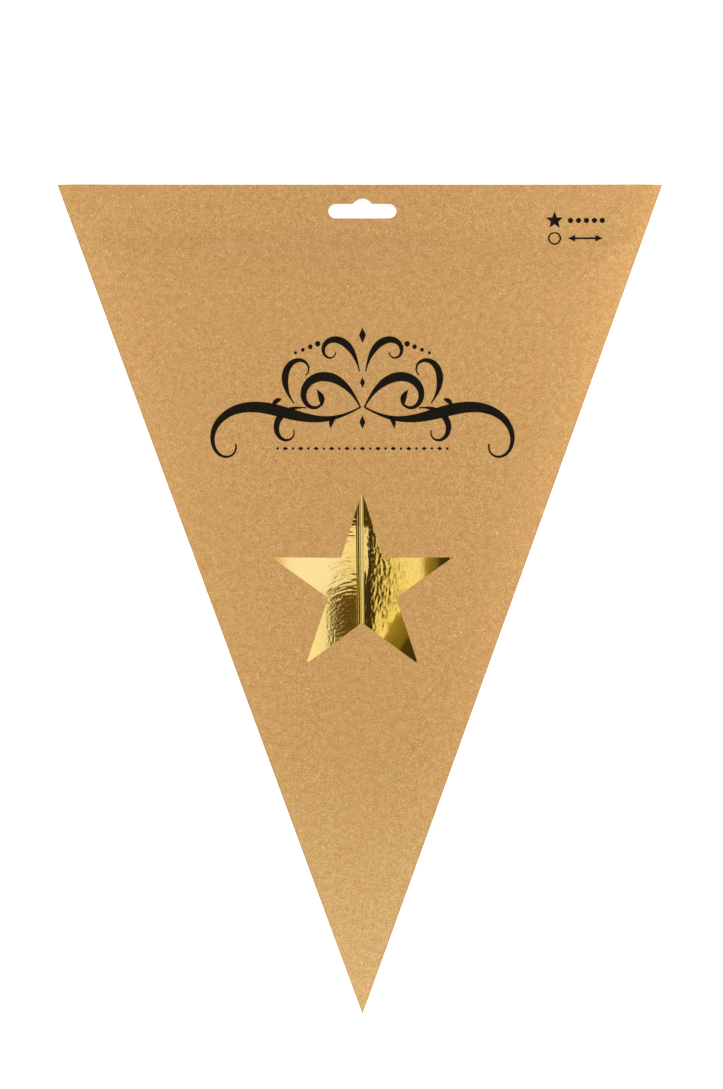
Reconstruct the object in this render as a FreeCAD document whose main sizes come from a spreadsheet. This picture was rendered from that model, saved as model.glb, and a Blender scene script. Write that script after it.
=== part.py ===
import FreeCAD, Part
import os
import Sketcher

# A large five-point paper star, folded flat for sale in a triangular kraft card sleeve.
# The pack lies on its back: +Z runs from the back panel to the front panel, +Y runs from
# the sleeve's point to its hanging edge, and the origin is under the middle of the pack.
# Lengths are millimetres and angles are degrees.

SIZES = {
    # sleeve outline, which follows the folded star
    "left_flare": (1.323, "angle of the left side beyond the star's facet angle"),
    "right_flare": (1.01, "angle of the right side beyond the star's facet angle"),
    "corner_room": (15.2, "star's far corners to the header"),
    "card": (0.4, "kraft card thickness"),
    "mouth_gap": (0.1, "gap between the two plies where they lie flat"),
    "header": (22.0, "flat strip along the hanging edge"),
    # how the filled sleeve rises from its folded sides and from its header
    "edge_rise_width": (4.0, "side fold to first crease"),
    "shoulder_width": (12.0, "side fold to second crease"),
    "bow_width": (22.0, "side fold to level panel"),
    "top_rise_width": (9.0, "header to first crease"),
    "top_shoulder_width": (15.0, "header to second crease"),
    "top_bow_width": (27.0, "header to level panel"),
    "bow": (0.3, "extra rise of the level panel over the star"),
    "star_clearance": (0.1, "star to card, where they come closest"),
    # glue flap, on the back along the left side
    "flap_width": (9.0, "left side fold to the flap's free edge"),
    "flap_start": (34.0, "point to the flap's lower end"),
    "flap_slant": (9.0, "run of the slanted cut at each end"),
    # hang slot
    "slot_width": (32.0, "overall"),
    "slot_height": (6.84, "between its straight sides"),
    "slot_bump_half": (4.45, "half width of the domed notch"),
    "slot_bump_rise": (2.46, "height of the domed notch"),
    "slot_edge": (15.8, "hanging edge to the slot's lower side"),
    # star window in the front panel
    "window_radius": (44.6, "centre to tip"),
    "window_ratio": (0.3745, "inner radius over tip radius"),
    "window_rise": (199.95, "sleeve's point to the window's centre"),
    "window_shift": (-0.2, "centre line to the window's centre"),
    "window_tip_round": (0.55, "rounding in the five tips"),
    # folded star
    "foil": (0.2, "foil card thickness"),
    "fold_gap": (0.1, "between the two facets of one folded sheet"),
    "seam_length": (254.3, "tip to notch, along the glued seam"),
    "ridge_length": (351.7, "tip to the star's middle, along the folded ridge"),
    "facet_angle": (18.87, "between the seam and the ridge"),
    "tip_half": (0.9, "half width of the blunt tip"),
    "corner_cut": (6.0, "width left at the facet's far corner"),
    "seam_start": (30.0, "tip to the start of the seam flanges"),
    "seam_end_gap": (14.3, "end of the seam flanges to the notch"),
    "inner_flange": (2.42, "width of the seam flange next to its own facet"),
    "outer_flange": (1.61, "width of the seam flange that wraps over it"),
    "flange_clearance": (0.1, "between the seam flanges of neighbouring points"),
    "press_half": (3.0, "half width held level by the flanges, at their start"),
    "press_half_end": (10.0, "the same at the notch, and the joining tab's width"),
    "tab_end": (3.0, "joining tab's width at the far corner"),
    "star_rise": (18.0, "sleeve's point to the star's tip, up the pack"),
    "star_shift": (2.1, "sleeve's point to the star's tip, across the pack"),
    "star_lean": (0.5, "turn of the star in its sleeve, towards the left"),
}
POINTS = 5

doc = FreeCAD.newDocument("paper_star_pack")
sheet = doc.addObject("Spreadsheet::Sheet", "Sizes")
for row, (alias, (number, meaning)) in enumerate(SIZES.items(), start=1):
    sheet.set("A%d" % row, alias)
    sheet.set("B%d" % row, str(number))
    sheet.set("C%d" % row, meaning)
    sheet.setAlias("B%d" % row, alias)
doc.recompute()


def size(alias):
    """The spreadsheet's name for one size, as an expression writes it."""
    return "Sizes." + alias


# ---------------------------------------------------------------- expressions used by both

# distance up the pack from the star's tip to its facets' far corners
CORNER_Y = "(%s * cos(%s))" % (size("ridge_length"), size("facet_angle"))
# sleeve from its point to the header and to the hanging edge, and its two side slopes
HEADER_LINE = "(%s + %s + %s)" % (size("star_rise"), CORNER_Y, size("corner_room"))
HEIGHT = "(%s + %s)" % (HEADER_LINE, size("header"))
SIDE_ANGLE = {
    -1: "(%s + %s)" % (size("facet_angle"), size("left_flare")),
    1: "(%s + %s)" % (size("facet_angle"), size("right_flare")),
}
CENTRE_LINE_X = "(%s * (tan(%s) - tan(%s)) / 2)" % (HEIGHT, SIDE_ANGLE[-1], SIDE_ANGLE[1])
# thickness of the folded star, at its ridges and at its seam, and of the pack
FACET = "(2 * %s + %s)" % (size("foil"), size("fold_gap"))
PITCH = "(%s + %s)" % (FACET, size("foil"))
STACK_HALF = "(%g * %s + %s / 2)" % ((POINTS - 1) / 2, PITCH, FACET)
SEAM_HALF = "(%s + %g * %s)" % (STACK_HALF, (POINTS - 1) / 2 + 2, size("foil"))
EDGE_RISE = "(%s + %s)" % (STACK_HALF, size("star_clearance"))
SHOULDER_RISE = "(%s + %s)" % (SEAM_HALF, size("star_clearance"))
BOW_RISE = "(%s + %s)" % (SHOULDER_RISE, size("bow"))
PACK_HALF = "(%s + %s)" % (BOW_RISE, size("card"))


# ---------------------------------------------------------------- sketch helpers

def new_body(name):
    """A body whose label names its file."""
    body = doc.addObject("PartDesign::Body", name)
    body.Label = name
    return body


def new_sketch(body, name, plane_role, offset="0"):
    """An empty sketch on one of the body's own planes, moved along that plane's normal."""
    sketch = body.newObject("Sketcher::SketchObject", name)
    plane = next(f for f in body.Origin.OriginFeatures if f.Role == plane_role)
    sketch.AttachmentSupport = [(plane, "")]
    sketch.MapMode = "FlatFace"
    sketch.setExpression("AttachmentOffset.Base.z", offset)
    return sketch


def bind(sketch, name, kind, geometry, vertex, expression, value):
    """Hold one coordinate of a vertex to an expression of the sheet."""
    index = sketch.addConstraint(Sketcher.Constraint(kind, -1, 1, geometry, vertex, value))
    sketch.renameConstraint(index, name)
    sketch.setExpression("Constraints." + name, expression)


def draw(sketch, corners, arcs=()):
    """A closed outline through corners, counterclockwise where it has arcs.

    Each corner is a pair of expressions. arcs gives, by the number of the corner where it
    starts, an arc's centre as two expressions and the coordinate that still has to be held.
    """
    arcs = dict(arcs)
    spots = [FreeCAD.Vector(*[float(sketch.evalExpression(e)) for e in c]) for c in corners]
    count = len(spots)
    for i, start in enumerate(spots):
        end = spots[(i + 1) % count]
        if i in arcs:
            centre = FreeCAD.Vector(*[float(sketch.evalExpression(e)) for e in arcs[i][0]])
            outward = (end - start).cross(FreeCAD.Vector(0, 0, 1)).normalize()
            middle = centre + outward * (start - centre).Length
            sketch.addGeometry(Part.Arc(start, middle, end))
        else:
            sketch.addGeometry(Part.LineSegment(start, end))
    joins = [Sketcher.Constraint("Coincident", i, 2, (i + 1) % count, 1) for i in range(count)]
    sketch.addConstraint(joins)
    for i, spot in enumerate(spots):
        bind(sketch, "x%d" % i, "DistanceX", i, 1, corners[i][0], spot.x)
        bind(sketch, "y%d" % i, "DistanceY", i, 1, corners[i][1], spot.y)
    for i, (centre, held) in arcs.items():
        axis = "XY".index(held)
        value = float(sketch.evalExpression(centre[axis]))
        bind(sketch, "centre%d" % i, "Distance" + held, i, 3, centre[axis], value)
    return sketch


def loft(body, kind, name, sketches):
    """A straight-sided loft through the sketches, added to the body or cut from it."""
    feature = body.newObject("PartDesign::%sLoft" % kind, name)
    feature.Profile = sketches[0]
    feature.Sections = sketches[1:]
    feature.Ruled = True
    return feature


def pad(body, name, sketch, length):
    """A pad along the sketch's own normal."""
    feature = body.newObject("PartDesign::Pad", name)
    feature.Profile = sketch
    feature.setExpression("Length", length)
    return feature


# ---------------------------------------------------------------- kraft sleeve
# The sleeve is modelled with its point at the origin and its folded sides in the plane z = 0.

def side_x(side, y, inset="0"):
    """X on a slanted side at height y, moved inwards by inset, square to that side."""
    angle = SIDE_ANGLE[side]
    return "(%d * (%s * tan(%s) - %s / cos(%s)))" % (side, y, angle, inset, angle)


def triangle(inset, top):
    """The sleeve's outline moved inwards by inset at both slanted sides, cut off at top."""
    left, right = SIDE_ANGLE[-1], SIDE_ANGLE[1]
    point_y = "(%s * (1 / cos(%s) + 1 / cos(%s)) / (tan(%s) + tan(%s)))" % (
        inset, left, right, left, right)
    return [(side_x(1, point_y, inset), point_y), (side_x(1, top, inset), top),
            (side_x(-1, top, inset), top)]


LEVELS = [
    (size("edge_rise_width"), size("top_rise_width"), EDGE_RISE),
    (size("shoulder_width"), size("top_shoulder_width"), SHOULDER_RISE),
    (size("bow_width"), size("top_bow_width"), BOW_RISE),
]


def pouch(body, kind, name, fold, ply_half, extra):
    """The filled pouch as a loft of triangles, outside (extra = card) or inside (extra = 0)."""
    steps = [(fold, "0", ply_half)]
    steps += [(inset, drop, "(%s + %s)" % (rise, extra)) for inset, drop, rise in LEVELS]
    sketches = []
    for side in (-1, 1):
        for inset, drop, rise in (reversed(steps) if side < 0 else steps):
            label = "%s_level_%d" % (name, len(sketches))
            level = new_sketch(body, label, "XY_Plane", "%d * %s" % (side, rise))
            sketches.append(draw(level, triangle(inset, "(%s - %s)" % (HEADER_LINE, drop))))
    return loft(body, kind, name, sketches)


def flap_section(y, first, second):
    """Section of the glue flap at height y, on the outside of the back panel.

    The flap starts at the side fold and follows two more points of the shoulder. Each is a
    pair: its inset from the fold and its rise. The flap is sunk half a card into the panel.
    """
    skin = [(side_x(-1, y, inset), rise) for inset, rise in (("0", "0"), first, second)]
    inner = [(x, "(-%s - %s / 2)" % (rise, size("card"))) for x, rise in skin]
    outer = [(x, "(-%s - 2 * %s)" % (rise, size("card"))) for x, rise in skin]
    return inner + outer[::-1]


def add_glue_flap(body):
    """The flap that wraps the left side fold and is glued on the outside of the back panel."""
    along = "((%s - %s) / (%s - %s))" % (size("flap_width"), size("edge_rise_width"),
                                         size("shoulder_width"), size("edge_rise_width"))
    free_rise = "(%s + %s * (%s - %s))" % (EDGE_RISE, along, SHOULDER_RISE, EDGE_RISE)
    full = [(size("edge_rise_width"), EDGE_RISE), (size("flap_width"), free_rise)]
    third = ("(%s / 3)" % size("edge_rise_width"), "(%s / 3)" % EDGE_RISE)
    narrow = [third, tuple("(2 * %s)" % part for part in third)]
    top = "(%s - %s)" % (HEADER_LINE, size("top_bow_width"))
    stations = [
        (size("flap_start"), narrow),
        ("(%s + %s)" % (size("flap_start"), size("flap_slant")), full),
        ("(%s - %s)" % (top, size("flap_slant")), full),
        (top, narrow),
    ]
    sketches = []
    for y, points in stations:
        sketch = new_sketch(body, "flap_station_%d" % len(sketches), "XZ_Plane", "-" + y)
        sketches.append(draw(sketch, flap_section(y, *points)))
    return loft(body, "Additive", "glue_flap", sketches)


def cut_mouth(body):
    """The slit between the two plies in the header, open at the hanging edge."""
    top = "(%s + %s)" % (HEIGHT, size("card"))
    corners = []
    for side in (1, -1):
        low = (side_x(side, HEADER_LINE, size("card")), HEADER_LINE)
        high = (side_x(side, top, size("card")), top)
        corners += [low, high] if side > 0 else [high, low]
    sketch = draw(new_sketch(body, "mouth_outline", "XY_Plane"), corners)
    cut = body.newObject("PartDesign::Pocket", "mouth")
    cut.Profile = sketch
    cut.Midplane = True
    cut.setExpression("Length", size("mouth_gap"))
    return cut


def slot_outline():
    """Hang slot: a long slot with round ends and a domed notch in its upper side."""
    radius = "(%s / 2)" % size("slot_height")
    low = "(%s - %s)" % (HEIGHT, size("slot_edge"))
    high = "(%s + %s)" % (low, size("slot_height"))
    end = "(%s / 2 - %s)" % (size("slot_width"), radius)
    bump = size("slot_bump_half")
    rise = size("slot_bump_rise")
    dome_y = "(%s + (%s ^ 2 - %s ^ 2) / (2 * %s))" % (high, rise, bump, rise)
    middle = "(%s + %s)" % (low, radius)
    corners = [("-" + end, low), (end, low), (end, high), (bump, high),
               ("-" + bump, high), ("-" + end, high)]
    arcs = {1: ((end, middle), "X"), 3: (("0", dome_y), "Y"), 5: (("-" + end, middle), "X")}
    return corners, arcs


def window_outline():
    """Regular five-pointed star with one tip up."""
    corners = []
    for i in range(2 * POINTS):
        angle = 90 + i * 180 / POINTS
        radius = size("window_radius")
        if i % 2:
            radius = "(%s * %s)" % (radius, size("window_ratio"))
        corners.append(("(%s + %s * cos(%g))" % (size("window_shift"), radius, angle),
                        "(%s + %s * sin(%g))" % (size("window_rise"), radius, angle)))
    return corners


def cut_through(body, name, sketch, both_ways):
    """A cut through the front ply, or through both plies."""
    cut = body.newObject("PartDesign::Pocket", name)
    cut.Profile = sketch
    cut.Type = "ThroughAll"
    cut.Midplane = both_ways
    cut.Reversed = not both_ways
    return cut


def round_window_tips(body, base):
    """Round the five short corners where the cutting die turns."""
    centre = FreeCAD.Vector(sheet.window_shift, sheet.window_rise, 0)
    names = []
    for number, edge in enumerate(base.Shape.Edges, start=1):
        ends = [v.Point for v in edge.Vertexes]
        reach = [FreeCAD.Vector(p.x, p.y, 0).distanceToPoint(centre) for p in ends]
        upright = len(ends) == 2 and abs(ends[0].z - ends[1].z) > sheet.card / 2
        if upright and all(abs(r - sheet.window_radius) < sheet.card / 10 for r in reach):
            names.append("Edge%d" % number)
    fillet = body.newObject("PartDesign::Fillet", "window_tips")
    fillet.Base = (base, names)
    fillet.setExpression("Radius", size("window_tip_round"))
    return fillet


def build_sleeve():
    """One card blank: front and back panels, two side folds, a glue flap, slot and window."""
    body = new_body("kraft_sleeve")
    plies = new_sketch(body, "panel_outline", "XY_Plane")
    draw(plies, triangle("0", HEIGHT))
    panels = pad(body, "panels", plies, "2 * " + size("card"))
    panels.Midplane = True
    pouch(body, "Additive", "pouch", "0", size("card"), size("card"))
    add_glue_flap(body)
    pouch(body, "Subtractive", "hollow", size("card"), "(%s / 2)" % size("mouth_gap"), "0")
    cut_mouth(body)
    slot = draw(new_sketch(body, "slot_outline", "XY_Plane"), *slot_outline())
    cut_through(body, "hang_slot", slot, True)
    window = draw(new_sketch(body, "window_outline", "XY_Plane"), window_outline())
    opening = cut_through(body, "star_window", window, False)
    doc.recompute()
    round_window_tips(body, opening)
    body.setExpression("Placement.Base.x", CENTRE_LINE_X)
    body.setExpression("Placement.Base.y", "-%s / 2" % HEIGHT)
    body.setExpression("Placement.Base.z", PACK_HALF)
    return body


# ---------------------------------------------------------------- folded star
# Each point of the star is two folded sheets, one in front and one behind. Folded flat, the
# front sheet lies left of the seam and the back sheet lies right of it. Each sheet has an
# upper and a lower facet, joined by the ridge fold at its outer side. The facets of the two
# sheets meet in a seam: one flange is folded back over its own facet, and the other wraps
# over that one. Seen along the seam, the lower seam is the upper one turned half a turn.
# A sheet is modelled with the star's tip at the origin and the seam along +Y.

SEAM_OFFSET = "(%s + %s / 2)" % (size("foil"), size("flange_clearance"))
SEAM_END = "(%s - %s)" % (size("seam_length"), size("seam_end_gap"))
NOTCH_WIDTH = "(%s * tan(%s))" % (size("seam_length"), size("facet_angle"))
# where each facet is cut off square, near its far corner
CUT_Y = "(%s - %s * (%s - %s) / %s)" % (
    CORNER_Y, size("corner_cut"), CORNER_Y, size("seam_length"), NOTCH_WIDTH)
CUT_SEAM_X = "(%s * tan(%s) - %s)" % (CUT_Y, size("facet_angle"), size("corner_cut"))


def sheet_section(side, lift, press, ridge, seam_x=None):
    """Section of one folded sheet: two facets open at the seam, joined at the ridge.

    lift raises the part of the facets that the seam holds level, as far as press. Without a
    seam_x the facets end at the seam, the upper one left of it and the lower one right of it.
    """
    half = "(%s / 2)" % FACET
    gap = "(%s / 2)" % size("fold_gap")
    upper_end = seam_x or "(-%s)" % SEAM_OFFSET
    lower_end = seam_x or SEAM_OFFSET
    level = "(%d * %s)" % (side, press)
    outside = "(%d * %s)" % (side, ridge)
    inside = "(%d * (%s - %s))" % (side, ridge, size("foil"))
    return [
        (lower_end, "(%s - %s)" % (lift, half)), (level, "(%s - %s)" % (lift, half)),
        (inside, "-" + half), (outside, "-" + gap), (outside, gap), (inside, half),
        (level, "(%s + %s)" % (lift, half)), (upper_end, "(%s + %s)" % (lift, half)),
        (upper_end, "(%s + %s)" % (lift, gap)), (level, "(%s + %s)" % (lift, gap)),
        (inside, gap), (inside, "-" + gap),
        (level, "(%s - %s)" % (lift, gap)), (lower_end, "(%s - %s)" % (lift, gap)),
    ]


def add_facets(body, side, lift):
    """The two facets and their ridge fold, from the blunt tip to the cut far corner."""
    tip_y = "(%s / tan(%s))" % (size("tip_half"), size("facet_angle"))
    corner_press = "(%s + %s)" % (CUT_SEAM_X, size("tab_end"))
    stations = [
        (tip_y, "0", "(%s / 2)" % size("tip_half"), None),
        (size("seam_start"), lift, size("press_half"), None),
        (SEAM_END, lift, size("press_half_end"), None),
        (size("seam_length"), "0", size("press_half_end"), None),
        (CUT_Y, "0", corner_press, "(%d * %s)" % (side, CUT_SEAM_X)),
    ]
    sketches = []
    for y, rise, press, seam_x in stations:
        ridge = "(%s * tan(%s))" % (y, size("facet_angle"))
        sketch = new_sketch(body, "section_%d" % len(sketches), "XZ_Plane", "-" + y)
        sketches.append(draw(sketch, sheet_section(side, rise, press, ridge, seam_x)))
    loft(body, "Additive", "facets", sketches)


def add_seam_flange(body, name, turn, outer, lift):
    """One seam flange: turn = 1 for the upper seam and -1 for the lower seam."""
    face = "(%s / 2)" % FACET
    fold = size("foil")
    near = "(-%s)" % SEAM_OFFSET
    if outer:
        far = "(%s - %s)" % (near, size("outer_flange"))
        wrap = "(%s + %s)" % (near, fold)
        outline = [(near, face), (wrap, face), (wrap, "(%s + 2 * %s)" % (face, fold)),
                   (far, "(%s + 2 * %s)" % (face, fold)), (far, "(%s + %s)" % (face, fold)),
                   (near, "(%s + %s)" % (face, fold))]
    else:
        far = "(%s - %s)" % (near, size("inner_flange"))
        outline = [(near, face), (near, "(%s + %s)" % (face, fold)),
                   (far, "(%s + %s)" % (face, fold)), (far, face)]
    turned = [("(%d * %s)" % (turn, x), "(%s + %d * %s)" % (lift, turn, z)) for x, z in outline]
    sketch = draw(new_sketch(body, name + "_section", "XZ_Plane", "-" + SEAM_END), turned)
    pad(body, name, sketch, "%s - %s" % (SEAM_END, size("seam_start")))


def add_joining_tab(body, side):
    """The tab folded back along the notch, glued to the next point's facet above it."""
    outline = [
        ("(-%s)" % SEAM_OFFSET, size("seam_length")),
        ("(%d * %s)" % (side, size("press_half_end")), size("seam_length")),
        ("(%d * (%s + %s))" % (side, CUT_SEAM_X, size("tab_end")), CUT_Y),
        ("(%d * %s)" % (side, CUT_SEAM_X), CUT_Y),
    ]
    sketch = draw(new_sketch(body, "tab_outline", "XY_Plane", "%s / 2" % FACET), outline)
    pad(body, "joining_tab", sketch, size("foil"))


def build_sheet(name, number, side):
    """One folded sheet of foil card; side is -1 for the front sheet and 1 for the back one."""
    body = new_body(name)
    step = number - (POINTS + 1) / 2
    lift = "(%g * %s)" % (step, size("foil"))
    add_facets(body, side, lift)
    add_seam_flange(body, "upper_flange", 1, side > 0, lift)
    add_seam_flange(body, "lower_flange", -1, side < 0, lift)
    if number < POINTS:
        add_joining_tab(body, side)
    body.setExpression("Placement.Base.x", "%s + %s" % (CENTRE_LINE_X, size("star_shift")))
    body.setExpression("Placement.Base.y", "%s - %s / 2" % (size("star_rise"), HEIGHT))
    body.setExpression("Placement.Base.z", "%s + %g * %s" % (PACK_HALF, step, PITCH))
    body.setExpression("Placement.Rotation.Angle", size("star_lean"))
    return body


# ---------------------------------------------------------------- build, check and write

parts = [build_sleeve()]
for number in range(1, POINTS + 1):
    parts.append(build_sheet("star_point_%d_front" % number, number, -1))
    parts.append(build_sheet("star_point_%d_back" % number, number, 1))
doc.recompute()

for item in doc.Objects:
    if "Invalid" in item.State or "Error" in item.State:
        raise RuntimeError("%s failed: %s" % (item.Name, item.State))
for piece in parts:
    shape = piece.Shape
    if shape.isNull() or not shape.isValid() or len(shape.Solids) != 1:
        raise RuntimeError("%s is not one valid solid" % piece.Label)

os.makedirs("parts", exist_ok=True)
for piece in parts:
    piece.Shape.exportStep("parts/%s.step" % piece.Label)
    box = piece.Shape.BoundBox
    print("%-20s volume %9.1f  box %s" % (piece.Label, piece.Shape.Volume, box))
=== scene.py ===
import math

import bpy
import numpy as np
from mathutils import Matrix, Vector
from mathutils.geometry import delaunay_2d_cdt


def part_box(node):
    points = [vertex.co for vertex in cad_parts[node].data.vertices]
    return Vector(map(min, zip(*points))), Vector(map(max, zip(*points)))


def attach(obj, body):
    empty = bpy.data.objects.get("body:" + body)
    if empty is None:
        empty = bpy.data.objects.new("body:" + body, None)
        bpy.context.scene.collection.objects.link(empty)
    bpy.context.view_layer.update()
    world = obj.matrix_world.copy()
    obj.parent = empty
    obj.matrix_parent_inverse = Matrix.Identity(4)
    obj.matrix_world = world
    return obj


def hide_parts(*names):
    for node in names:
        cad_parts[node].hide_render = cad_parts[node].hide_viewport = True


# The looks of a large folded paper star in its triangular kraft card sleeve, lying on its back.
# Sizes are millimetres in the row frame, as in the part's source, and metres only in Blender.

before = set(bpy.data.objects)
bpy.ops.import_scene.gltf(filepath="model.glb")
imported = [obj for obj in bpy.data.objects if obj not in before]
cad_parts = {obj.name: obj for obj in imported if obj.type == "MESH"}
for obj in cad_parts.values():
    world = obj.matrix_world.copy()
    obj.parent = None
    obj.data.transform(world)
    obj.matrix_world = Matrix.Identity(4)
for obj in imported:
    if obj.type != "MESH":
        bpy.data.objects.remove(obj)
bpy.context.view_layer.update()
MM = 0.001

SLEEVE_LOW, SLEEVE_HIGH = (np.array(corner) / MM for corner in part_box("kraft_sleeve"))
MID_Z = (SLEEVE_LOW[2] + SLEEVE_HIGH[2]) / 2
TOP_Y = SLEEVE_HIGH[1]
POINT_Y = SLEEVE_LOW[1]
HEIGHT = TOP_Y - POINT_Y
PACK_HALF = SLEEVE_HIGH[2] - MID_Z

# sleeve
CENTRE_X = 1.2          # sleeve's point, hang slot and centre line
CARD = 0.4              # card thickness
SLIT = 0.05             # half the gap between the plies in the header
HEADER = 22.0           # strip along the hanging edge
HEADER_Y = TOP_Y - HEADER
SLOT_WIDTH = 32.0
SLOT_HEIGHT = 6.84
SLOT_BUMP_HALF = 4.45
SLOT_BUMP_RISE = 2.46
SLOT_EDGE = 15.8        # hanging edge to the slot's lower side
WINDOW_CENTRE = (1.0, 5.95)
WINDOW_RADIUS = 44.6
WINDOW_RATIO = 0.3745
WINDOW_TIP_ROUND = 0.55
FLAP_WIDTH = 9.0        # glue flap on the back, along the left side fold
FLAP_LOW = 34.0         # point to the flap's lower end
FLAP_HIGH = 339.0       # point to the flap's upper end
FLAP_SLANT = 9.0

# folded star: its tip, the direction of its seam, and one folded sheet
STAR_TIP = (3.3, -176.0)
STAR_LEAN = math.radians(0.5)
FACET_TAN = math.tan(math.radians(18.87))
FOIL = 0.2
CARD_SHARP = math.radians(40)        # edges sharper than this aren't shaded smooth
FOIL_SHARP = math.radians(50)
FOLD_GAP = 0.1
HALF_SHEET = FOLD_GAP / 2 + FOIL
SHEET_Z = 4.65          # middle plane of the front point's sheets
LIFT = 0.4              # how much the seam lifts them
SEAM_OFFSET = 0.25
SEAM_LENGTH = 254.3
SEAM_START = 30.0
SEAM_END = 240.0
TIP_START = 2.63
CUT_Y = 328.6
CUT_SEAM_X = 106.3
TIP_PRESS = 0.45        # half the width that the seam lifts whole, at the tip and further up
PRESS_START = 3.0
PRESS_END = 10.0
TAB_END = 3.0
INNER_FLANGE = 2.42
OUTER_FLANGE = 1.61

SIDE_TAN = {-1: (CENTRE_X - SLEEVE_LOW[0]) / HEIGHT, 1: (SLEEVE_HIGH[0] - CENTRE_X) / HEIGHT}
SIDE_COS = {side: 1 / math.hypot(1, slope) for side, slope in SIDE_TAN.items()}
# how far the point goes up when both sides move in by 1
POINT_RISE = (1 / SIDE_COS[-1] + 1 / SIDE_COS[1]) / (SIDE_TAN[-1] + SIDE_TAN[1])


# ---------------- sleeve's relief

def side_distance(side, x, y):
    """Distance from a slanted side fold, inwards."""
    return ((y - POINT_Y) * SIDE_TAN[side] - side * (x - CENTRE_X)) * SIDE_COS[side]


def edge_distance(x, y):
    """Distance from the nearer side fold, inwards."""
    return np.minimum(side_distance(-1, x, y), side_distance(1, x, y))


def half_width(y):
    """Distance from both side folds at the line halfway between them."""
    return np.maximum((y - POINT_Y) / POINT_RISE, 1e-6)


def ease(share):
    """From 0 to 1 with a level end."""
    return 1 - (1 - np.clip(share, 0, 1)) ** 2


def smooth_min(a, b, blend):
    gap = np.maximum(blend - np.abs(a - b), 0) / blend
    return np.minimum(a, b) - gap * gap * blend / 4


FOLD_RISE = CARD                 # outer surface over the fold, past the fold's own rounding
FULL_RISE = PACK_HALF - FOLD_RISE
RIDGE_START = {-1: 8.2, 1: 4.1}  # star's ridge to the side fold, near the sleeve's point
RIDGE_GROWTH = {-1: 0.0144, 1: 0.0264}
SIDE_SHARE = 0.807               # share of the rise that is over within a few mm of the ridge
SIDE_EXTRA = 6.0
POINT_WIDTH = 5.0
TOP_RISE = (2.0, 30.0)           # rise below the header and the length it takes
TOP_BOW = (0.85, 120.0)
TOP_BLEND = 0.3                  # height over which the two rises blend
GAPE = (0.9, 9.0)                # how far the header's plies part beside the side folds, and where


def outer_rise(x, y):
    """Height of the sleeve's outer surface over its middle plane."""
    half = half_width(y)
    rises = []
    for side in (-1, 1):
        inset = np.maximum(side_distance(side, x, y), 0)
        ridge = RIDGE_START[side] + np.maximum(y - STAR_TIP[1], 0) * RIDGE_GROWTH[side]
        span = np.minimum(ridge + SIDE_EXTRA, 0.9 * half)
        full = FULL_RISE * (1 - np.exp(-half / POINT_WIDTH))
        shares = SIDE_SHARE * ease(inset / span) + (1 - SIDE_SHARE) * ease(inset / half)
        rises.append(full * shares)
    near = np.maximum(edge_distance(x, y), 0)
    drop = np.maximum(HEADER_Y - y, 0)
    top = TOP_RISE[0] * ease(drop / TOP_RISE[1]) + TOP_BOW[0] * ease(drop / TOP_BOW[1])
    gape = GAPE[0] * (near / GAPE[1]) * np.exp(1 - near / GAPE[1])
    rise = FOLD_RISE + smooth_min(np.minimum(*rises), top + gape, TOP_BLEND)
    round_fold = np.sqrt(np.clip(1 - (1 - np.clip(near / CARD, 0, 1)) ** 2, 0, 1))
    return rise - FOLD_RISE * (1 - round_fold)


# ---------------- mesh helpers

def new_object(name, data):
    made = bpy.data.objects.new(name, data)
    bpy.context.scene.collection.objects.link(made)
    return made


def make_object(name, points, faces, materials, face_materials=None):
    """An object from points in millimetres and faces of point numbers."""
    mesh = bpy.data.meshes.new(name)
    mesh.from_pydata([tuple(p) for p in np.asarray(points, float) * MM], [], faces)
    for material in materials:
        mesh.materials.append(material)
    if face_materials is not None:
        mesh.polygons.foreach_set("material_index", np.asarray(face_materials, np.int32))
    mesh.polygons.foreach_set("use_smooth", [True] * len(mesh.polygons))
    mesh.validate()
    mesh.update()
    return new_object(name, mesh)


def add_values(made, name, values):
    """One number for each point, which a material can read."""
    made.data.attributes.new(name, "FLOAT", "POINT").data.foreach_set("value", values)


def arc(centre, radius, start, turn, steps):
    """Points on an arc from the angle start, in radians."""
    angles = [start + turn * step / steps for step in range(steps + 1)]
    return [(centre[0] + radius * math.cos(a), centre[1] + radius * math.sin(a)) for a in angles]


def star_corners(centre, radius, ratio):
    """Corners of a regular star with one tip up, counterclockwise from that tip."""
    tips, notches = (arc(centre, reach, math.pi / 2, 2 * math.pi, 10)
                     for reach in (radius, radius * ratio))
    return [(notches if i % 2 else tips)[i] for i in range(10)]


def round_corners(corners, radius, steps=4):
    """Replace every second corner by a small arc that touches both sides."""
    made = []
    for i, corner in enumerate(corners):
        if i % 2:
            made.append(corner)
            continue
        here = Vector(corner)
        before = (Vector(corners[i - 1]) - here).normalized()
        after = (Vector(corners[(i + 1) % len(corners)]) - here).normalized()
        half = before.angle(after) / 2
        middle = here + (before + after).normalized() * (radius / math.sin(half))
        start = here + before * (radius / math.tan(half)) - middle
        end = here + after * (radius / math.tan(half)) - middle
        for step in range(steps + 1):
            made.append(tuple(start.lerp(end, step / steps).normalized() * radius + middle))
    return made


def slot_corners(steps=8):
    """Outline of the hang slot, counterclockwise."""
    radius = SLOT_HEIGHT / 2
    low = TOP_Y - SLOT_EDGE
    high = low + SLOT_HEIGHT
    end = SLOT_WIDTH / 2 - radius
    dome = (SLOT_BUMP_RISE ** 2 + SLOT_BUMP_HALF ** 2) / (2 * SLOT_BUMP_RISE)
    dome_y = high + SLOT_BUMP_RISE - dome
    dome_angle = math.asin(SLOT_BUMP_HALF / dome)
    right = arc((CENTRE_X + end, low + radius), radius, -math.pi / 2, math.pi, steps)
    top = arc((CENTRE_X, dome_y), dome, math.pi / 2 - dome_angle, 2 * dome_angle, steps)
    left = arc((CENTRE_X - end, low + radius), radius, math.pi / 2, math.pi, steps)
    return right + top + left


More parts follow.
